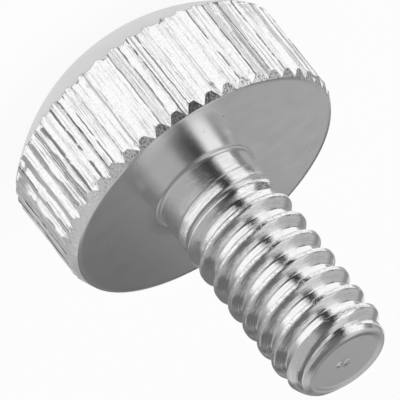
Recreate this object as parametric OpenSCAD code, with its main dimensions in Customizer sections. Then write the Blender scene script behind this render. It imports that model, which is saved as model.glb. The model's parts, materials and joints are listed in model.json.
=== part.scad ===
// Fender mounting bolt: one piece turned from bar, with a straight-knurled thumb head,
// a domed crown with a flat land, a plain neck and a rolled UN thread.
// Millimetres. The bolt stands on its crown land at z = 0 and its shank points along +Z.

/* [Head] */
// Diameter over the crests of the knurl
head_d = 13; // [9:0.1:20]
// Height of the knurled band, from the crown's edge to the clamp face
band_h = 4.25; // [2:0.05:8]
// Height of the domed crown, from its flat land to the knurled band
crown_h = 2; // [0.6:0.05:2.4]
// Diameter of the flat land on the crown
land_d = 8; // [4:0.1:8.4]
// Width of the chamfer round the clamp face, measured along the radius
edge_w = 0.3; // [0.1:0.02:0.6]
// Height of the chamfer round the clamp face
edge_h = 0.5; // [0.1:0.02:1]

/* [Knurl] */
// Number of grooves round the head
grooves = 48; // [24:1:60]
// Depth of each groove
groove_depth = 0.23; // [0.1:0.01:0.32]
// Width of the land left on each crest between two grooves
crest_w = 0.32; // [0.04:0.02:0.4]

/* [Neck] */
// Diameter of the plain neck under the head
neck_d = 4.45; // [4:0.05:4.6]
// Length of the plain neck, from the clamp face to the first turn of the thread
neck_len = 1.3; // [0.6:0.05:2.4]
// Radius of the fillet between the neck and the clamp face
neck_fillet = 0.35; // [0.3:0.05:0.5]

/* [Thread] */
// Major diameter of the thread (number 10, 24 to the inch, UNC)
thread_d = 4.83; // [4.7:0.01:4.95]
// Threads to the inch
threads_per_inch = 24; // [20:1:32]
// Angle between the two flanks of the thread
flank_angle = 60; // [55:1:60]
// Turns over which the thread rises to its full depth beside the neck
runout_turns = 1.6; // [0.5:0.1:2.5]
// Angle round the axis at which the helix starts
thread_start = 320; // [0:5:355]

/* [Shank] */
// Length of the shank, from the clamp face to its end
shank_len = 10.25; // [7:0.25:25]
// Radius of the rounded lead, from the thread's crests to the flat end
lead_round = 0.85; // [0.4:0.05:1.2]

/* [Hidden] */
$fn = 96;
head_r = head_d / 2;
land_r = land_d / 2;
neck_r = neck_d / 2;
thread_r = thread_d / 2;
tip_r = thread_r - lead_round;
clamp_z = crown_h + band_h;
thread_z = clamp_z + neck_len;
tip_z = clamp_z + shank_len;
// The crown is part of a ball through the land's edge and the band's edge, centred on the axis.
crown_mid = (head_r * head_r + crown_h * crown_h - land_r * land_r) / (2 * crown_h);
crown_r = sqrt(land_r * land_r + crown_mid * crown_mid);
// Each side of a groove is a flat from its root through the edge of the next crest's land,
// drawn on to where it meets the side of the next groove.
root_r = head_r - groove_depth;
half_step = 180 / grooves;
land_half = crest_w / 2 / head_r * 180 / PI;
side_x = head_r * cos(half_step - land_half) - root_r;
side_y = head_r * sin(half_step - land_half);
side_t = root_r * sin(half_step) / (side_y * cos(half_step) - side_x * sin(half_step));
meet_r = norm([root_r + side_t * side_x, side_t * side_y]);
// UN thread form, as fractions of the pitch.
pitch = 25.4 / threads_per_inch;
crest_flat = 1 / 8;
root_flat = 1 / 4;
thread_depth = (1 - crest_flat - root_flat) / 2 * pitch / tan(flank_angle / 2);
ease = 0.06;
// One pitch of the section, from crest to crest: place along the pitch, and height above the root.
section = [
    [0, 1],
    [crest_flat / 2, 1 - ease],
    [0.5 - root_flat / 2, ease],
    [0.5 - root_flat / 5, 0],
    [0.5 + root_flat / 5, 0],
    [0.5 + root_flat / 2, ease],
    [1 - crest_flat / 2, 1 - ease]
];
per_turn = 36;
per_pitch = len(section);
// The thread rises from just inside the neck's surface.
inside = 0.03;
core_turns = ceil((shank_len - neck_len) / pitch) + 3;
core_z = thread_z - 1.2 * pitch;

// Smooth step from 0 to 1.
function rise(t) = let (u = max(0, min(1, t))) u * u * (3 - 2 * u);

// Radius of the threaded core at a height, for a place on the thread's section.
function core_radius(z, height) =
    let (full = thread_r - thread_depth + thread_depth * height)
    let (grown = rise((z - thread_z) / (runout_turns * pitch)))
    (neck_r - inside) * (1 - grown) + full * grown;

// Point of the threaded core: column round the axis, row up the helix.
function core_point(column, row) =
    let (place = section[row % per_pitch])
    let (turns = floor(row / per_pitch) + place[0] + column / per_turn)
    let (z = core_z + turns * pitch)
    let (r = core_radius(z, place[1]))
    let (a = thread_start + 360 * column / per_turn)
    [r * cos(a), r * sin(a), z];

// Cross-section of the head's bar with the knurl's grooves rolled in.
module knurl_outline() {
    polygon([
        for (i = [0 : grooves - 1])
            for (corner = [[meet_r, 0], [root_r, half_step]])
                let (a = 360 * i / grooves + corner[1])
                [corner[0] * cos(a), corner[0] * sin(a)]
    ]);
}

// Half section of the head: flat land, domed crown, band, chamfer and clamp face.
module head_section() {
    intersection() {
        polygon([
            [0, 0],
            [head_r, 0],
            [head_r, clamp_z - edge_h],
            [head_r - edge_w, clamp_z],
            [0, clamp_z]
        ]);
        translate([0, crown_mid]) circle(r = crown_r);
    }
}

// Half section of the neck with its fillet, rooted in the head.
module neck_section() {
    translate([0, clamp_z - 1]) square([neck_r, neck_len + 1]);
    difference() {
        translate([0, clamp_z - 0.5]) square([neck_r + neck_fillet, neck_fillet + 0.5]);
        translate([neck_r + neck_fillet, clamp_z + neck_fillet]) circle(r = neck_fillet);
    }
}

// Threaded core, longer than the shank at both ends.
module threaded_core() {
    rows = core_turns * per_pitch;
    wide = per_turn;
    points = [
        for (row = [0 : rows - 1])
            for (column = [0 : wide - 1])
                core_point(column, row)
    ];
    last_z = core_z + (core_turns + 1) * pitch;
    ends = [[0, 0, core_z - pitch / 2], [0, 0, last_z + pitch / 2]];
    low = len(points);
    high = low + 1;
    // Past the last column a row carries on as the row one pitch higher, in the first column.
    function at(column, row) =
        column < wide ? row * wide + column : (row + per_pitch) * wide + column - wide;
    sides = [
        for (row = [0 : rows - 2])
            for (column = [0 : wide - 1])
                if (column < wide - 1 || row + 1 + per_pitch < rows)
                    for (half = [0, 1])
                        half == 0
                            ? [at(column, row), at(column + 1, row + 1), at(column + 1, row)]
                            : [at(column, row), at(column, row + 1), at(column + 1, row + 1)]
    ];
    low_rim = concat(
        [for (column = [0 : wide - 1]) at(column, 0)],
        [for (row = [per_pitch : -1 : 1]) at(0, row)]
    );
    top = rows - 1;
    high_rim = concat(
        [for (column = [0 : wide - 1]) at(column, top)],
        [for (row = [top - 1 : -1 : top - per_pitch]) at(wide - 1, row)]
    );
    low_cap = [
        for (k = [0 : len(low_rim) - 1])
            [low, low_rim[k], low_rim[(k + 1) % len(low_rim)]]
    ];
    high_cap = [
        for (k = [0 : len(high_rim) - 1])
            [high, high_rim[(k + 1) % len(high_rim)], high_rim[k]]
    ];
    polyhedron(concat(points, ends), concat(sides, low_cap, high_cap));
}

// Everything up to the shank's end, with its rounded lead.
module lead_section() {
    square([thread_r + 1, tip_z - lead_round]);
    translate([tip_r, tip_z - lead_round]) circle(r = lead_round);
    square([tip_r, tip_z]);
}

// The whole bolt, which is one solid piece.
module fender_bolt() {
    color([0.8, 0.8, 0.82]) {
        intersection() {
            rotate_extrude() head_section();
            linear_extrude(height = clamp_z) knurl_outline();
        }
        rotate_extrude() neck_section();
        intersection() {
            threaded_core();
            rotate_extrude() lead_section();
        }
    }
}

fender_bolt();
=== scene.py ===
"""Fender mounting bolt: a knurled thumb head on a short threaded shank, on a white table."""
import json
import math

import bpy
import bmesh
import numpy as np
from mathutils import Matrix, Vector


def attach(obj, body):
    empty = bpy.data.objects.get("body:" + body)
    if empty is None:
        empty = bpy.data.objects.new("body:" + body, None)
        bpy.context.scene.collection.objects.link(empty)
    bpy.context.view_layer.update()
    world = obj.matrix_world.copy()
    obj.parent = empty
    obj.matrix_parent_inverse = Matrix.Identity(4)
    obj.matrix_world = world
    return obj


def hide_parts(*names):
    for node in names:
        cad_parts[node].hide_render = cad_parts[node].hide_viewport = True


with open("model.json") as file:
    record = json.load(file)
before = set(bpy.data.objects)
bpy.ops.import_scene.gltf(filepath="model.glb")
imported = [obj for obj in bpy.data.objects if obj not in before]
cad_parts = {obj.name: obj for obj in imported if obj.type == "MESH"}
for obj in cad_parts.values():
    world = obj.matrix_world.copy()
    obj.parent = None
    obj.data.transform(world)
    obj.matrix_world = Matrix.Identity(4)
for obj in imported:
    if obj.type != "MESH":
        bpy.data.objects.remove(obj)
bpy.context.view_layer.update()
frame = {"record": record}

# Heights that the frame gives, in millimetres like every other size of the bolt here
MM = 0.001
mounts = {mount["name"]: mount for mount in frame["record"]["mounts"]}
CLAMP_Z = mounts["clamp_face"]["pos_m"][2] / MM
TIP_Z = mounts["thread"]["pos_m"][2] / MM

# Head: its crests stay a little inside the solid's radius
SOLID_R = 6.5
HEAD_R = 6.488
CROWN_H = 2.0
LAND_R = 4.0
LAND_EASE = 0.12
CROWN_MID = (SOLID_R ** 2 + CROWN_H ** 2 - LAND_R ** 2) / (2 * CROWN_H)
CROWN_R = math.hypot(LAND_R, CROWN_MID)
EDGE_W = 0.25
EDGE_H = 0.4
FACE_R = SOLID_R - EDGE_W
# The clamp face eases down a little before the chamfer: insets and drops
EDGE_EASE = ((0.0, 0.022), (0.05, 0.0115), (0.1, 0.0048), (0.15, 0.0012), (0.19, 0.0))

# Knurl: shares are of the step from crest to crest, counted from the middle of a crest
GROOVES = 48
GROOVE_DEPTH = 0.23
DEPTH_SPREAD = (0.86, 1.0)
LEAN = 0.05
WORN = 0.03
CREST_SHARE = 0.15
SEAM_SHARE = 0.2
ROOT_SHARE = 0.47
FLOOR_SHARE = 0.48

# Torn places: how likely each kind is where the rolls bit hardest, and the bite that widens a seam. A
# torn flank carries painted shade, and the first side of each tooth takes it far more often, as a flank
# turned from the light; seams and cracks carry painted shade in their folds
SEAM_CHANCE = 0.85
TORN_AND_SHADED_CHANCE = (0.85, 0.25)
CRACK_CHANCE = 0.35
WIDE_SEAM_BITE = 0.9
# How hard the rolls bit, from 0 to 1, at angles in degrees round the head, which also sets how much
# painted shade the torn flanks and seams put there
BITE_ANGLES = (0, 180, 205, 215, 225, 235, 250, 256, 264, 270, 280, 290, 298, 309, 318, 360)
BITE = (0.6, 0.5, 0.3, 0.7, 1.0, 0.3, 0.3, 0.7, 0.9, 0.3, 0.15, 0.6, 1.0, 1.0, 0.5, 0.5)

# Unevenness along the teeth: depths, sideways shares of a step, and the share of each end left even
BROAD_DIP = 0.02
FINE_DIP = 0.009
TEAR_DEPTH = 0.09
TEAR_LIMIT = 0.5
CREST_TEARS = 0.3
WANDER = 0.03
JITTER = 0.006
SEAM_JITTER = 0.022
EVEN_ENDS = 0.04

# The side where the tools sat askew: the grooves run out there and the chamfer is taller
ASKEW_ANGLE = math.radians(350)
ASKEW_START = 0.2
ASKEW_SPAN = 0.6
GROOVE_FILL = 0.5
FILL_START = 0.84
FILL_SPAN = 0.16
TALLER = 0.6

# Neck, with the low step where the rolling dies began, whose edge is measured from the camera's side
NECK_R = 2.23
NECK_FILLET = 0.18
NECK_TOP_Z = CLAMP_Z + 0.5
FRONT_ANGLE = 1.5 * math.pi
SHOULDER = 0.06
SHOULDER_RISE = 1.17
SHOULDER_EDGE = 0.09
SHOULDER_TAPER = 1.6

# Thread: the two sides of its ridge are in shares of the pitch
THREAD_R = 2.415
THREADS_PER_INCH = 24
PITCH = 25.4 / THREADS_PER_INCH
THREAD_DEPTH = 0.4
TIP_SIDE = {"half_crest": 0.09, "flank": 0.34}
HEAD_SIDE = {"half_crest": 0.09, "flank": 0.17}
CREST_EASE = 0.04
ROOT_EASE = 0.05
THREAD_Z = CLAMP_Z + 1.3
RUNOUT = 1.6 * PITCH
THREAD_START = 320.0
CORE_DROP = 1.2 * PITCH
FIRST_CREST_Z = THREAD_Z - CORE_DROP - THREAD_START / 360 * PITCH
# Radii over which the nicks on the crests come in
NICKED_R = (2.36, 2.4)

# Tip: the lead is an arc between two slopes, and ends at a lip round the dished end
LEAD_ROUND = 3.33
LEAD_TURNS = (math.radians(20), math.radians(40))
LEAD_MID_R = THREAD_R - LEAD_ROUND * math.cos(LEAD_TURNS[0])
LEAD_MID_Z = TIP_Z - LEAD_ROUND * math.sin(LEAD_TURNS[1])
RIM_TURN = math.radians(38)
RIM_Z = LEAD_MID_Z + LEAD_ROUND * math.sin(RIM_TURN)
FLAT_R = LEAD_MID_R + LEAD_ROUND * math.cos(LEAD_TURNS[1])
LIP = 0.05
DISH_R = FLAT_R - LIP
DISH_SIDE = 0.3
DISH = 0.045
# Nubs that the parting tool left: each one's place and size, and the radius that holds them
NUBS = ((-0.12, 0.1, 0.11), (0.16, -0.12, 0.1))
NUBS_R = 0.34
# The blank's end drifts off centre, and the dies left a short stretch of it unrolled
END_OFFSET = 0.13
END_BLUNT = 0.09
DRIFT_H = 1.0
BLANK_R = 2.13
UNROLLED_H = 0.6
UNROLLED_EASE = 0.15
UNROLLED_SIDE = 0.12
FLANK_FOOT = TIP_SIDE["half_crest"] + TIP_SIDE["flank"]
LAST_GROOVE = 0.045
LAST_GROOVE_W = 0.06

# Places of the mesh's points across half a tooth, and along each side of the thread's ridge
HALF_TOOTH = (0, 0.075, CREST_SHARE, SEAM_SHARE, 0.26, 0.34, 0.42, ROOT_SHARE, 0.5)
TIP_PLACES = (0, 0.04, 0.075, 0.09, 0.105, 0.15, 0.22, 0.3, 0.38, 0.415, 0.43, 0.445, 0.475, 0.5)
HEAD_PLACES = (0, 0.04, 0.075, 0.09, 0.105, 0.14, 0.2, 0.245, 0.26, 0.275, 0.31, 0.4, 0.5)
SHANK_COLUMNS = 128
CROWN_STEP = 4

# Rings of the mesh: radii, insets and drops, shares of the chamfer, degrees of the fillet, and counts
LAND_RINGS = (0.6, 1.6, 2.6, 3.4, LAND_R - LAND_EASE)
DOME_RINGS = 12
DOME_GAP = 0.08
DOME_GATHER = 0.02
KNURL_ROWS = 52
# Rows next to the crown that take the seam finish: a painted dark line of shade in the crease where the
# knurl meets the crown
CROWN_SHADE_LINE_ROWS = 2
CHAMFER_SHARES = (0.03, 0.35, 0.7, 0.95, 1.0)
FACE_GATHER = 0.25
FACE_RINGS = (5.2, 4.4, 3.6, 3.0, NECK_R + NECK_FILLET)
FILLET_TURNS = range(10, 91, 10)
LIP_RINGS = ((0.0, 0.01), (0.015, 0.0), (LIP, 0.0))
DISH_SIDE_RINGS = 8
DISH_FLOOR_RINGS = 22

# Cleaning of the mesh, in metres, and the angle from which an edge is sharp
MERGE_GAP = 1e-7
LEAST_EDGE = 1e-8
SHARP_ANGLE = math.radians(32)

# Finishes, in the order of the mesh's material slots
KNURL, TORN, SEAM, EDGE, CROWN, FACE, THREAD, TIP = range(8)
# Kinds of socket that a node group has
VALUE = "NodeSocketFloat"
COLOUR = "NodeSocketColor"

# Haze of the plating: usual brightness, share of cells without a pit, and what each mark does to it
BRIGHTNESS = 0.92
NO_PIT_SHARE = 0.7
PIT_DULLING = 0.2
PIT_SHADE = 0.6
CLOUD_SHADES = (1.03, 0.97)
FINE_SWING = 0.03
FINE_GRAIN = 0.3
FLECK_EDGES = (0.5, 0.62)

# Marks of the knurling rolls: where lines and tears begin and are full, and how short and deep they are
LINE_EDGES = (0.58, 0.68)
TEAR_EDGES = (0.0, 0.06)
TEAR_TOP = 0.85
TEAR_SHORTNESS = 2.4
ROLLED_DEPTH = 0.012

# Marks of the thread: what is added to the helix lines, as shares of their height, and where it begins
THREAD_GRAIN = 0.3
THREAD_DENTS = 0.6
THREAD_NICKS = 1.5
NICK_EDGES = (0.58, 0.64)
SCORE_EDGES = (0.56, 0.66)
SCORE_SHARE = 0.22
THREAD_MARK_DEPTH = 0.009

chance = np.random.default_rng(seed=24)


class BoltMesh:
    """Gathers the rings and faces of the bolt before they become one mesh."""

    def __init__(self):
        self.points = []
        self.faces = []
        self.finish = []
        self.count = 0

    def ring(self, points):
        """Adds a ring of points and gives back their numbers."""
        first = self.count
        self.points.append(np.asarray(points, float))
        self.count += len(points)
        return np.arange(first, self.count)

    def face(self, corners, finish):
        """Adds one face."""
        self.faces.append(tuple(int(c) for c in corners))
        self.finish.append(finish)

    def join(self, low, high, finish):
        """Quads between two closed rings of the same count."""
        n = len(low)
        finish = np.broadcast_to(finish, n)
        for i in range(n):
            j = (i + 1) % n
            self.face((low[i], low[j], high[j], high[i]), int(finish[i]))

    def gather(self, wide, narrow, finish):
        """Flat faces between a ring and one with fewer points."""
        n = len(narrow)
        step = len(wide) // n
        for i in range(n):
            run = [wide[(i * step + k) % len(wide)] for k in range(step + 1)]
            self.face(run + [narrow[(i + 1) % n], narrow[i]], finish)

    def close(self, rim, centre, finish):
        """A fan from a ring to one point."""
        n = len(rim)
        for i in range(n):
            self.face((rim[i], rim[(i + 1) % n], centre), finish)


def turned(radius, z, angles):
    """Points at these radii and heights round the axis."""
    radius = np.broadcast_to(radius, angles.shape)
    z = np.broadcast_to(z, angles.shape)
    return np.column_stack([radius * np.cos(angles), radius * np.sin(angles), z])


def smooth_step(t):
    """Smooth rise from 0 to 1."""
    u = np.clip(t, 0.0, 1.0)
    return u * u * (3 - 2 * u)


def both_sides(first, second):
    """Places over a whole step, from those on its two sides, each counted from the crest."""
    return np.array(list(first) + [1 - share for share in second[-2:0:-1]])


class Streaks:
    """Chance unevenness that runs along the bar: fine round the axis, slow along it."""

    def __init__(self, around, along):
        self.grid = chance.uniform(-1, 1, (along + 2, around))

    def at(self, angles, share):
        """Unevenness from -1 to 1 at these angles, at a share of the way along."""
        along, around = self.grid.shape
        row = np.clip(np.broadcast_to(share, angles.shape), 0, 1) * (along - 2)
        column = angles / (2 * math.pi) * around
        r0 = np.floor(row).astype(int)
        c0 = np.floor(column).astype(int)
        up = smooth_step(row - r0)
        over = smooth_step(column - c0)
        c1 = (c0 + 1) % around
        c0 = c0 % around
        low = self.grid[r0, c0] * (1 - over) + self.grid[r0, c1] * over
        high = self.grid[r0 + 1, c0] * (1 - over) + self.grid[r0 + 1, c1] * over
        return low * (1 - up) + high * up


def knurl_section():
    """Angle, radius, share of the groove's depth and finish at each column of the knurl."""
    places = both_sides(HALF_TOOTH, HALF_TOOTH)
    from_crest = np.minimum(places, 1 - places)
    fall = np.clip((from_crest - CREST_SHARE) / (FLOOR_SHARE - CREST_SHARE), 0, 1)
    lean = chance.uniform(-LEAN, LEAN, GROOVES)
    depth = GROOVE_DEPTH * chance.uniform(*DEPTH_SPREAD, GROOVES)
    worn = chance.uniform(0.0, WORN, GROOVES + 1)
    worn[GROOVES] = worn[0]
    count = len(places)
    top = HALF_TOOTH.index(SEAM_SHARE)
    foot = HALF_TOOTH.index(ROOT_SHARE)
    flanks = [(top, foot), (count - foot, count - top)]
    angles = []
    radii = []
    finish = []
    for i in range(GROOVES):
        shift = lean[i] * np.sin(math.pi * places) ** 2
        angles.append((i + places + shift) * 2 * math.pi / GROOVES)
        crest = worn[i] * (1 - places) + worn[i + 1] * places
        radii.append(HEAD_R - crest * (1 - fall) - depth[i] * fall)
        tooth = np.full(count, KNURL)
        round_head = 360 * (i + 0.5) / GROOVES
        bite = np.interp(round_head, BITE_ANGLES, BITE)
        # Torn flanks get the torn finish, painted darker as shade, far more often on the first side of
        # each tooth; cracks and seams get the seam finish, painted dark as shade in the fold
        for (start, end), torn_shaded_chance in zip(flanks, TORN_AND_SHADED_CHANCE):
            if chance.random() < torn_shaded_chance * bite:
                tooth[start:end] = TORN
            if chance.random() < CRACK_CHANCE * bite:
                tooth[chance.integers(start, end)] = SEAM
        wide = 1 if bite > WIDE_SEAM_BITE else 0
        for first, last in ((top - 1, top + wide), (count - top - wide, count - top + 1)):
            if chance.random() < SEAM_CHANCE * bite:
                tooth[first:last] = SEAM
        finish.append(tooth)
    angles = np.concatenate(angles)
    radii = np.concatenate(radii)
    finish = np.concatenate(finish)
    return angles, radii, np.tile(fall, GROOVES), finish


def crown_height(radius):
    """Height of the domed crown at a radius."""
    return CROWN_MID - np.sqrt(CROWN_R ** 2 - np.square(radius))


def build_crown(mesh, angles, rim):
    """Flat land and dome, from the centre out to the rim that the knurl's teeth give."""
    few = angles[::CROWN_STEP]
    centre = mesh.ring([[0, 0, 0]])[0]
    inner = None
    for radius in LAND_RINGS:
        ring = mesh.ring(turned(radius, 0.0, few))
        if inner is None:
            mesh.close(ring, centre, CROWN)
        else:
            mesh.join(ring, inner, CROWN)
        inner = ring
    start = LAND_R + LAND_EASE
    middle = mesh.ring(turned(LAND_R, crown_height(start) / 4, few))
    mesh.join(middle, inner, CROWN)
    inner = middle
    end = rim.min() - DOME_GAP
    for radius in np.linspace(start, end, DOME_RINGS):
        ring = mesh.ring(turned(radius, crown_height(radius), few))
        mesh.join(inner, ring, CROWN)
        inner = ring
    edge = end + DOME_GATHER
    wide = mesh.ring(turned(edge, crown_height(edge), angles))
    mesh.gather(wide, inner, CROWN)
    for radius in ((edge + rim) / 2, rim):
        ring = mesh.ring(turned(radius, crown_height(radius), angles))
        mesh.join(wide, ring, CROWN)
        wide = ring
    return wide


def askew_share(angles):
    """How far, from 0 to 1, these angles lie on the side where the tools sat askew."""
    return smooth_step((np.cos(angles - ASKEW_ANGLE) - ASKEW_START) / ASKEW_SPAN)


def build_knurl(mesh, inner, angles, crests, fall, finish):
    """Knurled band from the crown to the chamfer, torn along the bar as rolled teeth are."""
    ragged = Streaks(around=GROOVES * 12, along=30)
    broad = Streaks(around=GROOVES * 5, along=4)
    fine = Streaks(around=GROOVES * 8, along=9)
    torn = Streaks(around=GROOVES * 6, along=14)
    wander = Streaks(around=GROOVES, along=5)
    beside_seam = (finish == SEAM) | (np.roll(finish, 1) == SEAM)
    jitter = np.where(beside_seam, SEAM_JITTER, JITTER)
    askew = askew_share(angles)
    ended = crests + np.maximum(HEAD_R - WORN - crests, 0) * GROOVE_FILL * askew
    low_z = crown_height(crests)
    high_z = CLAMP_Z - EDGE_H * (1 + TALLER * askew) * (ended - FACE_R) / EDGE_W
    step = 2 * math.pi / GROOVES
    for row in range(1, KNURL_ROWS + 1):
        share = 0.5 - 0.5 * math.cos(math.pi * row / KNURL_ROWS)
        ends = smooth_step(share / EVEN_ENDS) * smooth_step((1 - share) / EVEN_ENDS)
        rough = BROAD_DIP * broad.at(angles, share) + FINE_DIP * fine.at(angles, share) - BROAD_DIP
        tears = np.clip(torn.at(angles, share) - TEAR_LIMIT, 0, None) * TEAR_DEPTH
        tears = tears * (CREST_TEARS + (1 - CREST_TEARS) * fall)
        radius = crests + (ended - crests) * smooth_step((share - FILL_START) / FILL_SPAN)
        radius = radius + (np.minimum(rough, 0.0) - tears) * ends
        sway = WANDER * wander.at(angles, share) + jitter * ragged.at(angles, share)
        z = low_z + (high_z - low_z) * share
        ring = mesh.ring(turned(radius, z, angles + step * sway * ends))
        # The first rows take the seam finish, a painted shade line in the crease at the crown
        mesh.join(inner, ring, SEAM if row <= CROWN_SHADE_LINE_ROWS else finish)
        inner = ring
    return inner, high_z, ended


def build_clamp_face(mesh, inner, angles, crests, high_z, plain):
    """Chamfer across the teeth, then the flat ring that clamps, in to the neck's fillet."""
    for share in CHAMFER_SHARES:
        radius = crests + (FACE_R - crests) * share
        drop = EDGE_EASE[0][1] * share
        ring = mesh.ring(turned(radius, high_z + (CLAMP_Z - high_z) * share - drop, angles))
        mesh.join(inner, ring, EDGE)
        inner = ring
    for inset, drop in EDGE_EASE:
        ring = mesh.ring(turned(FACE_R - inset, CLAMP_Z - drop, angles))
        mesh.join(inner, ring, FACE)
        inner = ring
    inner = mesh.ring(turned(FACE_R - FACE_GATHER, CLAMP_Z, plain))
    mesh.gather(ring, inner, FACE)
    for radius in FACE_RINGS:
        ring = mesh.ring(turned(radius, CLAMP_Z, plain))
        mesh.join(inner, ring, FACE)
        inner = ring
    return inner


def soft_ramp(x, ease):
    """Zero below 0 and x above it, with a round between."""
    far = 40
    return ease * np.log1p(np.exp(np.clip(x / ease, -far, far)))


def ridge_side(away, half_crest, flank):
    """Height of one side of a ridge, from 0 at its root to 1 at its middle, in pitches away from it."""
    def height(t):
        climb = (half_crest + flank - t) / flank
        return soft_ramp(climb, ROOT_EASE) - soft_ramp(climb - 1, CREST_EASE)
    return (height(away) - height(0.5)) / (height(0.0) - height(0.5))


def thread_height(turns):
    """Height above the root, from 0 to 1, at a place in turns from a crest."""
    offset = (turns + 0.5) % 1.0 - 0.5
    away = np.abs(offset)
    return np.where(offset > 0, ridge_side(away, **TIP_SIDE), ridge_side(away, **HEAD_SIDE))


def shoulder_height(z, angles):
    """Height, from 0 to 1, of the dies' low step, whose edge climbs with the helix."""
    round_front = (FRONT_ANGLE - angles + math.pi) % (2 * math.pi) - math.pi
    above = z - CLAMP_Z - SHOULDER_RISE + PITCH * round_front / (2 * math.pi)
    taper = smooth_step((math.pi - round_front) / SHOULDER_TAPER)
    first_turn = taper * smooth_step(above / SHOULDER_EDGE)
    return np.maximum(first_turn, smooth_step((above - PITCH) / SHOULDER_EDGE))


def lead_radius(z, angles):
    """Radius of the rounded lead at a height and an angle. It drifts off centre towards its end."""
    above = np.clip(z - LEAD_MID_Z, LEAD_ROUND * math.sin(LEAD_TURNS[0]), LEAD_ROUND)
    side = np.cos(angles)
    off_centre = np.where(side < 0, -END_OFFSET * side, END_BLUNT * side)
    drift = off_centre * smooth_step((z - TIP_Z + DRIFT_H) / DRIFT_H)
    return LEAD_MID_R + np.sqrt(LEAD_ROUND ** 2 - above ** 2) + drift


def thread_radius(z, angles):
    """Radius of the threaded shank at a height and an angle."""
    turns = (z - FIRST_CREST_Z) / PITCH - angles / (2 * math.pi)
    past_foot = turns % 1.0 - FLANK_FOOT
    near_end = smooth_step((z - TIP_Z + UNROLLED_H) / UNROLLED_EASE)
    unrolled = near_end * smooth_step(past_foot / UNROLLED_SIDE)
    full = THREAD_R - THREAD_DEPTH + THREAD_DEPTH * thread_height(turns)
    full = np.where(full < BLANK_R, full + (BLANK_R - full) * unrolled, full)
    grown = smooth_step((z - THREAD_Z) / RUNOUT)
    blank = NECK_R + SHOULDER * shoulder_height(z, angles)
    core = blank * (1 - grown) + full * grown
    trace = near_end * np.exp(-(past_foot * PITCH / LAST_GROOVE_W) ** 2)
    return np.minimum(core, lead_radius(z, angles)) - LAST_GROOVE * trace


def build_neck(mesh, inner, plain):
    """Fillet, which has the tip's finish, and plain neck."""
    for turn in FILLET_TURNS:
        a = math.radians(turn)
        radius = NECK_R + NECK_FILLET - NECK_FILLET * math.sin(a)
        z = CLAMP_Z + NECK_FILLET - NECK_FILLET * math.cos(a)
        ring = mesh.ring(turned(radius, z, plain))
        mesh.join(inner, ring, TIP)
        inner = ring
    ring = mesh.ring(turned(NECK_R, NECK_TOP_Z, plain))
    mesh.join(inner, ring, THREAD)


def build_thread(mesh, plain):
    """Rows that follow the helix, cut off level at the neck and at the tip's rim."""
    places = both_sides(TIP_PLACES, HEAD_PLACES)
    per_pitch = len(places)
    rows = (math.ceil((RIM_Z - FIRST_CREST_Z) / PITCH) + 1) * per_pitch
    table = []
    for row in range(rows):
        rise = FIRST_CREST_Z + (row // per_pitch + places[row % per_pitch]) * PITCH
        z = np.clip(rise + PITCH * plain / (2 * math.pi), NECK_TOP_Z, RIM_Z)
        table.append(mesh.ring(turned(thread_radius(z, plain), z, plain)))
    last = SHANK_COLUMNS - 1
    for low, high in zip(table[:-1], table[1:]):
        for i in range(last):
            mesh.face((low[i], low[i + 1], high[i + 1], high[i]), THREAD)
    for row in range(rows - 1 - per_pitch):
        over = table[row + per_pitch][0]
        above = table[row + 1 + per_pitch][0]
        mesh.face((table[row][last], over, above, table[row + 1][last]), THREAD)


def end_ring(radius, z, plain):
    """Points of a ring on the end, which is off centre at its rim and less so further in."""
    spots = turned(radius, z, plain)
    spots[:, 0] -= END_OFFSET * radius / FLAT_R
    return spots


def tip_marks(x, y, radius):
    """Height of the end's surface: a shallow dish with the nubs in it."""
    dish = -DISH * smooth_step((DISH_R - radius) / DISH_SIDE)
    nubs = 0.0
    for nub_x, nub_y, size in NUBS:
        nubs += DISH * np.exp(-((x - nub_x) ** 2 + (y - nub_y) ** 2) / size ** 2)
    return dish + np.minimum(nubs, DISH)


def build_tip(mesh, plain):
    """The lip at the end of the lead, and the dished end with the nubs near its centre."""
    rim_z = np.full(SHANK_COLUMNS, RIM_Z)
    inner = mesh.ring(turned(thread_radius(rim_z, plain), RIM_Z, plain))
    for inset, drop in LIP_RINGS:
        ring = mesh.ring(end_ring(FLAT_R - inset, TIP_Z - drop, plain))
        mesh.join(inner, ring, TIP)
        inner = ring
    falls = np.linspace(DISH_R, DISH_R - DISH_SIDE, DISH_SIDE_RINGS)[1:]
    floor = np.linspace(falls[-1], 0, DISH_FLOOR_RINGS)[1:-1]
    for radius in np.concatenate([falls, floor]):
        spots = end_ring(radius, TIP_Z, plain)
        spots[:, 2] += tip_marks(spots[:, 0], spots[:, 1], radius)
        ring = mesh.ring(spots)
        mesh.join(inner, ring, TIP if radius > NUBS_R else THREAD)
        inner = ring
    centre = mesh.ring([[0, 0, TIP_Z + tip_marks(0.0, 0.0, 0.0)]])[0]
    mesh.close(inner, centre, THREAD)


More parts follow.
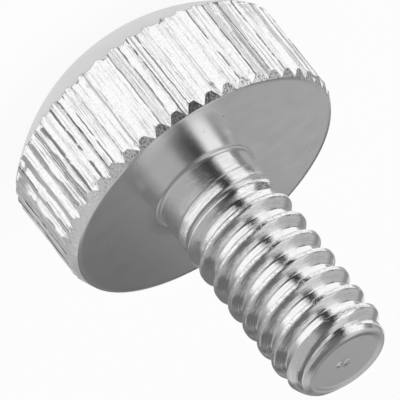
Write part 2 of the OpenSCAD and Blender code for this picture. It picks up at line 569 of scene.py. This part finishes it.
def make_bolt():
    """The whole bolt as one closed mesh in metres."""
    gathered = BoltMesh()
    angles, crests, fall, finish = knurl_section()
    plain = np.arange(SHANK_COLUMNS) * 2 * math.pi / SHANK_COLUMNS
    rim = build_crown(gathered, angles, crests)
    rim, high_z, ended = build_knurl(gathered, rim, angles, crests, fall, finish)
    root = build_clamp_face(gathered, rim, angles, ended, high_z, plain)
    build_neck(gathered, root, plain)
    build_thread(gathered, plain)
    build_tip(gathered, plain)
    data = bpy.data.meshes.new("knurled_bolt")
    data.from_pydata((np.concatenate(gathered.points) * MM).tolist(), [], gathered.faces)
    data.polygons.foreach_set("material_index", gathered.finish)
    work = bmesh.new()
    work.from_mesh(data)
    bmesh.ops.remove_doubles(work, verts=work.verts, dist=MERGE_GAP)
    bmesh.ops.dissolve_degenerate(work, edges=work.edges, dist=LEAST_EDGE)
    bmesh.ops.recalc_face_normals(work, faces=work.faces)
    work.to_mesh(data)
    work.free()
    data.shade_smooth()
    data.set_sharp_from_angle(angle=SHARP_ANGLE)
    bolt = bpy.data.objects.new("knurled_bolt", data)
    bpy.context.scene.collection.objects.link(bolt)
    return bolt


def place(tree, kind, inputs=None, **settings):
    """Adds a node, sets it up and fills its inputs with plain values or other nodes' outputs."""
    node = tree.nodes.new(kind)
    for name, value in settings.items():
        setattr(node, name, value)
    for key, value in (inputs or {}).items():
        if isinstance(value, bpy.types.NodeSocket):
            tree.links.new(value, node.inputs[key])
        else:
            node.inputs[key].default_value = value
    return node


def worked(tree, operation, *values):
    """One operation on values or outputs."""
    return place(tree, "ShaderNodeMath", dict(enumerate(values)), operation=operation).outputs[0]


def plus(tree, first, second):
    """Two values or outputs added."""
    return worked(tree, "ADD", first, second)


def less(tree, first, second):
    """The second value or output taken from the first."""
    return worked(tree, "SUBTRACT", first, second)


def times(tree, first, second):
    """Two values or outputs multiplied."""
    return worked(tree, "MULTIPLY", first, second)


def between(tree, value, low, high, to_low=0.0, to_high=1.0):
    """A value brought from one range to another, and held there."""
    ends = {"From Min": low, "From Max": high, "To Min": to_low, "To Max": to_high}
    return place(tree, "ShaderNodeMapRange", {"Value": value, **ends}, clamp=True).outputs["Result"]


def mixed(tree, share, first, second):
    """A colour between two others."""
    mix = place(tree, "ShaderNodeMix", {0: share, 6: first, 7: second}, data_type="RGBA")
    return mix.outputs[2]


def split(tree, vector):
    """The three parts of a vector."""
    return place(tree, "ShaderNodeSeparateXYZ", {0: vector}).outputs


def joined(tree, *parts):
    """A vector from its three parts."""
    return place(tree, "ShaderNodeCombineXYZ", dict(enumerate(parts))).outputs[0]


def speckle(tree, vector, scale, detail):
    """Smooth chance values from 0 to 1."""
    inputs = {"Vector": vector, "Scale": scale, "Detail": detail, "Roughness": 0.6}
    return place(tree, "ShaderNodeTexNoise", inputs).outputs[0]


def grey(level):
    """A plain grey."""
    return (level, level, level, 1.0)


def in_millimetres(tree):
    """Place on the bolt, in millimetres."""
    coords = place(tree, "ShaderNodeTexCoord")
    inputs = {0: coords.outputs["Object"], "Scale": 1 / MM}
    return place(tree, "ShaderNodeVectorMath", inputs, operation="SCALE").outputs[0]


def axis_distance(tree, parts):
    """Distance from the bolt's axis, from the parts of a place."""
    squares = [times(tree, part, part) for part in (parts[0], parts[1])]
    return worked(tree, "SQRT", plus(tree, *squares))


def new_effect(name, inputs, outputs):
    """An empty node group with named inputs, each with its usual value, and outputs of a kind."""
    tree = bpy.data.node_groups.new(name, "ShaderNodeTree")
    for label, usual in inputs.items():
        socket = tree.interface.new_socket(label, in_out="INPUT", socket_type=VALUE)
        socket.default_value = usual
    for label, kind in outputs.items():
        tree.interface.new_socket(label, in_out="OUTPUT", socket_type=kind)
    given = tree.nodes.new("NodeGroupInput").outputs
    return tree, given


def hand_out(tree, **results):
    """Joins a group's results to its outputs of the same names."""
    place(tree, "NodeGroupOutput", results)


def plating_haze():
    """Cloudy polish of thin bright plating, with a few fine pits."""
    usual = {"Brightness": BRIGHTNESS, "Polish": 0.2, "Clouding": 0.1, "Pit Size": 0.05}
    kinds = {"Tone": COLOUR, "Roughness": VALUE, "Grain": VALUE, "Flecks": VALUE}
    tree, given = new_effect("plating_haze", usual, kinds)
    spot = in_millimetres(tree)
    cloud = speckle(tree, spot, scale=1.1, detail=4.0)
    fine = speckle(tree, spot, scale=16.0, detail=2.0)
    cells = place(tree, "ShaderNodeTexVoronoi", {"Vector": spot, "Scale": 1.7})
    pick = place(tree, "ShaderNodeSeparateColor", {0: cells.outputs["Color"]}).outputs[0]
    near = worked(tree, "LESS_THAN", cells.outputs["Distance"], given["Pit Size"])
    pits = times(tree, near, worked(tree, "GREATER_THAN", pick, NO_PIT_SHARE))
    swing = times(tree, less(tree, cloud, 0.5), given["Clouding"])
    swing = plus(tree, swing, times(tree, fine, FINE_SWING))
    rough = plus(tree, plus(tree, given["Polish"], swing), times(tree, pits, PIT_DULLING))
    cloud_shade = between(tree, cloud, 0.0, 1.0, *CLOUD_SHADES)
    pit_shade = between(tree, pits, 0.0, 1.0, 1.0, PIT_SHADE)
    tone = times(tree, times(tree, cloud_shade, given["Brightness"]), pit_shade)
    grain = less(tree, times(tree, fine, FINE_GRAIN), pits)
    flecks = between(tree, speckle(tree, spot, scale=11.0, detail=2.0), *FLECK_EDGES)
    hand_out(tree, Tone=tone, Roughness=rough, Grain=grain, Flecks=flecks)
    return tree


def turning_marks():
    """Fine rings left by the turning tool on a face square to the axis."""
    tree, given = new_effect("turning_marks", {"Spacing": 0.12}, {"Lines": VALUE})
    parts = split(tree, in_millimetres(tree))
    ring = worked(tree, "DIVIDE", axis_distance(tree, parts), given["Spacing"])
    slow = 0.12
    vector = joined(tree, ring, times(tree, parts[0], slow), times(tree, parts[1], slow))
    hand_out(tree, Lines=speckle(tree, vector, scale=1.0, detail=3.0))
    return tree


def bar_marks():
    """Lines dragged along the bar by the knurling rolls, and the darker tears among them."""
    usual = {"Fineness": 12.0, "Drag": 2.0, "Torn Share": 0.3}
    tree, given = new_effect("bar_marks", usual, {"Lines": VALUE, "Tears": VALUE})
    parts = split(tree, in_millimetres(tree))
    along = worked(tree, "DIVIDE", parts[2], given["Drag"])
    x = times(tree, parts[0], given["Fineness"])
    y = times(tree, parts[1], given["Fineness"])
    lines = speckle(tree, joined(tree, x, y, along), scale=1.0, detail=4.0)
    shorter = times(tree, along, TEAR_SHORTNESS)
    patch = speckle(tree, joined(tree, y, x, shorter), scale=0.45, detail=4.0)
    limit = less(tree, TEAR_TOP, given["Torn Share"])
    tears = between(tree, less(tree, patch, limit), *TEAR_EDGES)
    hand_out(tree, Lines=between(tree, lines, *LINE_EDGES), Tears=tears)
    return tree


def helix_marks(tree):
    """Fine lines that follow the thread's helix."""
    parts = split(tree, in_millimetres(tree))
    angle = worked(tree, "ARCTAN2", parts[1], parts[0])
    phase = less(tree, times(tree, parts[2], 2 * math.pi / PITCH), angle)
    fineness = 4.0
    across = times(tree, worked(tree, "COSINE", phase), fineness)
    deep = times(tree, worked(tree, "SINE", phase), fineness)
    along = times(tree, parts[0], 0.9)
    return speckle(tree, joined(tree, across, deep, along), scale=1.0, detail=4.0)


def effect(tree, name, **values):
    """Places a node group with its own values. Names are written with _ for a space."""
    inputs = {label.replace("_", " "): value for label, value in values.items()}
    return place(tree, "ShaderNodeGroup", inputs, node_tree=effects[name])


def plated(name, polish, clouding, pit_size, brightness=BRIGHTNESS):
    """A bright plated metal with its haze. Gives back the material, its tree, shader and haze."""
    material = bpy.data.materials.new(name)
    material.use_nodes = True
    tree = material.node_tree
    shader = tree.nodes["Principled BSDF"]
    shader.inputs["Metallic"].default_value = 1.0
    values = {"Brightness": brightness, "Polish": polish, "Clouding": clouding, "Pit_Size": pit_size}
    haze = effect(tree, "plating_haze", **values)
    tree.links.new(haze.outputs["Tone"], shader.inputs["Base Color"])
    tree.links.new(haze.outputs["Roughness"], shader.inputs["Roughness"])
    return material, tree, shader, haze


def raised(tree, shader, height, depth):
    """Bumps the surface by a height from 0 to 1, over a depth in millimetres."""
    bump = place(tree, "ShaderNodeBump", {"Height": height, "Distance": depth * MM, "Strength": 1.0})
    tree.links.new(bump.outputs[0], shader.inputs["Normal"])


def flecked(tree, haze, tone, share, level):
    """A tone with a share of the haze's flecks in it, each of a grey level."""
    return mixed(tree, times(tree, haze.outputs["Flecks"], share), tone, grey(level))


def tooth_finish(name, look, rolls, lines, tears, flecks):
    """Rolled teeth with lines, tears and flecks, each given as a share and a grey level."""
    # Painted light: the teeth's plating is a lighter copy, at full brightness, above the rest of the
    # bolt's plating
    material, tree, shader, haze = plated(name, brightness=1.0, **look)
    bar = effect(tree, "bar_marks", **rolls)
    height = plus(tree, bar.outputs["Lines"], bar.outputs["Tears"])
    raised(tree, shader, less(tree, 1.0, height), ROLLED_DEPTH)
    tone = haze.outputs["Tone"]
    for label, (share, level) in (("Lines", lines), ("Tears", tears)):
        tone = mixed(tree, times(tree, bar.outputs[label], share), tone, grey(level))
    tone = flecked(tree, haze, tone, *flecks)
    tree.links.new(tone, shader.inputs["Base Color"])
    return material


def knurled_finish():
    """Crests and sound sides of the teeth."""
    look = {"polish": 0.14, "clouding": 0.1, "pit_size": 0.04}
    rolls = {"Fineness": 18.0, "Drag": 4.0, "Torn_Share": 0.235}
    marks = {"lines": (0.55, 0.4), "tears": (0.45, 0.45), "flecks": (0.2, 0.5)}
    return tooth_finish("plated_knurl_painted_light", look, rolls, **marks)


def torn_shaded_finish():
    """Sides of the teeth that the rolls tore, which are duller, and darker with painted shade of the
    flanks turned from the light.
    """
    look = {"polish": 0.24, "clouding": 0.12, "pit_size": 0.05}
    rolls = {"Fineness": 22.0, "Drag": 7.0, "Torn_Share": 0.32}
    marks = {"lines": (0.75, 0.3), "tears": (0.7, 0.4), "flecks": (0.25, 0.5)}
    return tooth_finish("plated_torn_painted_shade", look, rolls, **marks)


def seam_shade_finish():
    """Seams where the rolls folded the metal beside the crests, open here and closed there, painted
    dark grey as shade in the open folds; the same finish paints a shade line where the knurl meets the
    crown.
    """
    material, tree, shader, haze = plated("plated_seam_painted_shade", polish=0.3, clouding=0.1, pit_size=0.04)
    bar = effect(tree, "bar_marks", Fineness=3.0, Drag=1.2, Torn_Share=0.45)
    tone = mixed(tree, bar.outputs["Tears"], haze.outputs["Tone"], grey(0.24))
    tree.links.new(tone, shader.inputs["Base Color"])
    return material


def chamfer_finish():
    """Coarsely cut chamfer across the ends of the teeth, with many dark grey flecks below 1.5 mm in X
    that thin out towards 4.2 mm, on the side where it is taller.
    """
    look = {"polish": 0.24, "clouding": 0.2, "pit_size": 0.06, "brightness": 0.97}
    material, tree, shader, haze = plated("plated_chamfer", **look)
    raised(tree, shader, haze.outputs["Grain"], depth=0.06)
    x = split(tree, in_millimetres(tree))[0]
    share = between(tree, x, 1.5, 4.2, to_low=0.85, to_high=0.12)
    tone = flecked(tree, haze, haze.outputs["Tone"], share, level=0.25)
    tree.links.new(tone, shader.inputs["Base Color"])
    return material


def turned_finish(name, polish, clouding, pit_size, spacing, depth, brightness=BRIGHTNESS):
    """A face turned square to the axis, with fine rings."""
    material, tree, shader, haze = plated(name, polish, clouding, pit_size, brightness)
    rings = effect(tree, "turning_marks", Spacing=spacing)
    grain = times(tree, haze.outputs["Grain"], 0.4)
    raised(tree, shader, plus(tree, rings.outputs["Lines"], grain), depth)
    return material


def rolled_finish():
    """Rolled thread and neck, polished by the dies, with lines along the helix and nicked crests."""
    look = {"polish": 0.1, "clouding": 0.06, "pit_size": 0.03, "brightness": 0.96}
    material, tree, shader, haze = plated("plated_thread", **look)
    spot = in_millimetres(tree)
    dents = speckle(tree, spot, scale=4.0, detail=2.0)
    on_crest = between(tree, axis_distance(tree, split(tree, spot)), *NICKED_R)
    nicks = between(tree, speckle(tree, spot, scale=9.0, detail=1.0), *NICK_EDGES)
    lines = helix_marks(tree)
    height = plus(tree, lines, times(tree, haze.outputs["Grain"], THREAD_GRAIN))
    height = plus(tree, height, times(tree, dents, THREAD_DENTS))
    height = less(tree, height, times(tree, times(tree, on_crest, nicks), THREAD_NICKS))
    raised(tree, shader, height, THREAD_MARK_DEPTH)
    scores = between(tree, lines, *SCORE_EDGES, to_high=SCORE_SHARE)
    tone = mixed(tree, scores, haze.outputs["Tone"], grey(0.3))
    tone = flecked(tree, haze, tone, share=0.1, level=0.5)
    tree.links.new(tone, shader.inputs["Base Color"])
    return material


def toward(turn, climb):
    """Direction at an angle round from the camera's side towards -X, and an angle above the table."""
    a = math.radians(turn)
    e = math.radians(climb)
    return Vector((-math.sin(a) * math.cos(e), -math.cos(a) * math.cos(e), math.sin(e)))


def facing(direction):
    """Turn that makes an object's -Z look along a direction, with its Y as near up as can be."""
    return direction.to_track_quat("-Z", "Y").to_matrix().to_4x4()


def softbox(name, turn, climb, away, wide, tall, glow):
    """A soft lamp aimed at the middle of the bolt, as bright as glow where white is 1."""
    data = bpy.data.lights.new(name, "AREA")
    data.shape = "RECTANGLE"
    data.size = wide
    data.size_y = tall
    data.energy = glow * math.pi * wide * tall
    lamp = bpy.data.objects.new(name, data)
    aim = toward(turn, climb)
    middle = Vector((0, 0, TIP_Z / 2 * MM))
    lamp.matrix_world = Matrix.Translation(middle + aim * away) @ facing(-aim)
    lamp.visible_camera = False
    bpy.context.scene.collection.objects.link(lamp)
    return lamp


def flat_piece(name, corners, material):
    """One flat stage piece from its four corners in metres."""
    data = bpy.data.meshes.new(name)
    data.from_pydata(corners, [], [(0, 1, 2, 3)])
    data.materials.append(material)
    piece = bpy.data.objects.new(name, data)
    bpy.context.scene.collection.objects.link(piece)
    return piece


def level_corners(low, high, z):
    """Corners of a level rectangle, from two opposite ones."""
    spots = ((low[0], low[1]), (high[0], low[1]), (high[0], high[1]), (low[0], high[1]))
    return [(x, y, z) for x, y in spots]


def card_piece(name, corners, start, end=None, axis=0, span=(0, 1)):
    """A studio card that only reflections see. Its glow may fade over a span of millimetres."""
    material = bpy.data.materials.new(name)
    material.use_nodes = True
    tree = material.node_tree
    tree.nodes.clear()
    glow = place(tree, "ShaderNodeEmission", {"Strength": start})
    if end is not None:
        spot = place(tree, "ShaderNodeNewGeometry").outputs["Position"]
        along = split(tree, spot)[axis]
        fade = between(tree, along, span[0] * MM, span[1] * MM, start, end)
        tree.links.new(fade, glow.inputs["Strength"])
    place(tree, "ShaderNodeOutputMaterial", {"Surface": glow.outputs[0]})
    piece = flat_piece(name, [tuple(c) for c in corners], material)
    piece.visible_camera = False
    piece.visible_diffuse = False
    piece.visible_shadow = False
    piece.visible_transmission = False


def card(name, turn, away, wide, low, high, *glow, **fade):
    """An upright card that faces the bolt. A second glow is what it fades to over the span."""
    out = toward(turn, 0)
    side = Vector((out.y, -out.x, 0)) * (wide / 2 * MM)
    foot = out * (away * MM)
    spots = ((-1, low), (1, low), (1, high), (-1, high))
    corners = [foot + s * side + Vector((0, 0, z * MM)) for s, z in spots]
    card_piece(name, corners, *glow, **fade)


def floor_card(name, low, high, glow):
    """A card that lies on the table."""
    lift = 0.04
    corners = [Vector(corner) * MM for corner in level_corners(low, high, lift)]
    card_piece(name, corners, glow)


def white_table():
    """White table top that keeps the bolt's soft shadow."""
    material = bpy.data.materials.new("white_table")
    material.use_nodes = True
    tree = material.node_tree
    tree.nodes.clear()
    paint = place(tree, "ShaderNodeBsdfDiffuse", {"Color": grey(0.9)})
    glow = place(tree, "ShaderNodeEmission", {"Strength": 1.0})
    path = place(tree, "ShaderNodeLightPath").outputs
    seen_share = times(tree, path["Is Camera Ray"], 0.92)
    mirrored_share = times(tree, path["Is Glossy Ray"], 0.95)
    share = worked(tree, "MAXIMUM", seen_share, mirrored_share)
    mix = place(tree, "ShaderNodeMixShader", {0: share, 1: paint.outputs[0], 2: glow.outputs[0]})
    place(tree, "ShaderNodeOutputMaterial", {"Surface": mix.outputs[0]})
    reach = 2.0
    flat_piece("table_top", level_corners((-reach, -reach), (reach, reach), 0), material)


def studio():
    """Soft lamps, cards and a plain grey room."""
    world = bpy.data.worlds.new("studio")
    bpy.context.scene.world = world
    world.use_nodes = True
    world.node_tree.nodes["Background"].inputs["Color"].default_value = grey(0.14)
    # Lamps: degrees round and up, metres away, wide and tall, then the glow
    softbox("right_softbox", 71, 27, 0.2, 0.172, 0.115, 0.86)
    softbox("upper_softbox", 78, 59, 0.2, 0.125, 0.115, 0.48)
    softbox("left_softbox", -64, 30, 0.2, 0.195, 0.16, 0.4)
    overhead = softbox("overhead_softbox", 20, 80, 0.4, 0.6, 0.6, 1.3)
    overhead.visible_glossy = False
    # Upright cards: degrees round, millimetres away, wide and up to both edges, then the glow
    card("dark_card", 33, 12, 5.6, 3.6, 17, 0.04)
    card("left_wall_card", -50, 150, 270, 10, 98, 0.46, 0.42, axis=0, span=(28, 202))
    card("dark_far_card", 30, 30, 15, 11, 34, 0.06)
    card("left_far_card", -98, 120, 138, 1, 66, 0.5)
    card("left_mid_card", -112, 14, 20, 0.1, 5, 0.3)
    card("left_back_card", -150, 60, 40, 46, 80, 0.6)
    card("left_high_card", -88, 150, 45, 98, 160, 0.42)
    card("back_left_card", -155, 55, 40, 1, 24, 0.3)
    card("right_back_card", 120, 60, 64, 22, 85, 0.45)
    card("right_low_card", 106, 58, 22, 26, 38, 0.12)
    card("left_card", -112, 8.5, 12.8, 0.05, 4.7, 0.42, 0.62, axis=1, span=(-1, 2.5))
    # Cards on the table: two opposite corners in millimetres, then the glow
    floor_card("left_floor_card", (7.5, -6.2), (19, 6), 0.34)
    floor_card("right_floor_card", (-19, -5.5), (-7.5, -2), 0.66)
    floor_card("back_floor_card", (4, 12.5), (48, 54), 0.16)
    # Upright cards again
    card("left_upper_card", -104, 9.5, 24, 7.2, 14.5, 0.44, 0.18, axis=1, span=(-4, 3))
    card("tip_card", -50, 20, 40, 17.5, 40, 0.42)
    card("back_low_card", 170, 20, 34, 0.1, 9, 0.35)
    card("graded_card", 180, 60, 140, 27, 41, 0.11, 0.45, axis=0, span=(4.8, -2.8))
    card("back_dark_card", 180, 59, 24, 5, 27, 0.04)
    card("back_low_wall_card", 180, 60, 140, 5, 27, 0.26)
    card("back_end_card", 180, 60, 140, 41, 52, 0.25)
    card("back_light_card", 180, 60, 24, 52, 110, 0.6)


def photo_camera():
    """Long-lens camera at the photograph's angle, rolled so that the shank points down and right."""
    frame_px = 400
    px_per_mm = 24.37
    clamp_px = (204.9, 185.9)
    axis = (0.617, 0.787)
    tilt = math.radians(25.8)
    back = Vector((0, -math.cos(tilt), math.sin(tilt)))
    side = Vector((1, 0, 0))
    up = Vector((0, math.sin(tilt), math.cos(tilt)))
    right = -axis[1] * side + axis[0] * up
    above = -axis[0] * side - axis[1] * up
    data = bpy.data.cameras.new("photo_camera")
    data.lens = 1500
    data.sensor_width = 36
    data.clip_start = 0.005
    data.clip_end = 10
    wide = frame_px / px_per_mm * MM
    away = wide * data.lens / data.sensor_width
    clamp = Vector((0, 0, CLAMP_Z * MM))
    shift = right * (clamp_px[0] - frame_px / 2) - above * (clamp_px[1] - frame_px / 2)
    target = clamp - shift / px_per_mm * MM
    camera = bpy.data.objects.new("photo_camera", data)
    turn = Matrix((right, above, back)).transposed().to_4x4()
    camera.matrix_world = Matrix.Translation(target + back * away) @ turn
    bpy.context.scene.collection.objects.link(camera)
    bpy.context.scene.camera = camera


effects = {tree.name: tree for tree in (plating_haze(), turning_marks(), bar_marks())}
bolt = make_bolt()
# The crown's plating is a darker copy at brightness 0.65: painted shade of the crown, which faces down
# to the table it stands on
shaded_crown_look = {"polish": 0.3, "clouding": 0.12, "pit_size": 0.05, "brightness": 0.65}
face_look = {"polish": 0.19, "clouding": 0.1, "pit_size": 0.07}
tip_look = {"polish": 0.28, "clouding": 0.14, "pit_size": 0.06}
for finish in (
    knurled_finish(),
    torn_shaded_finish(),
    seam_shade_finish(),
    chamfer_finish(),
    turned_finish("plated_crown_painted_shade", spacing=0.2, depth=0.005, **shaded_crown_look),
    turned_finish("plated_face", spacing=0.1, depth=0.0012, **face_look),
    rolled_finish(),
    turned_finish("plated_tip", spacing=0.09, depth=0.003, **tip_look),
):
    bolt.data.materials.append(finish)
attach(bolt, "root")
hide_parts("fender_bolt")

white_table()
studio()
photo_camera()
bpy.context.scene.view_settings.view_transform = "Standard"
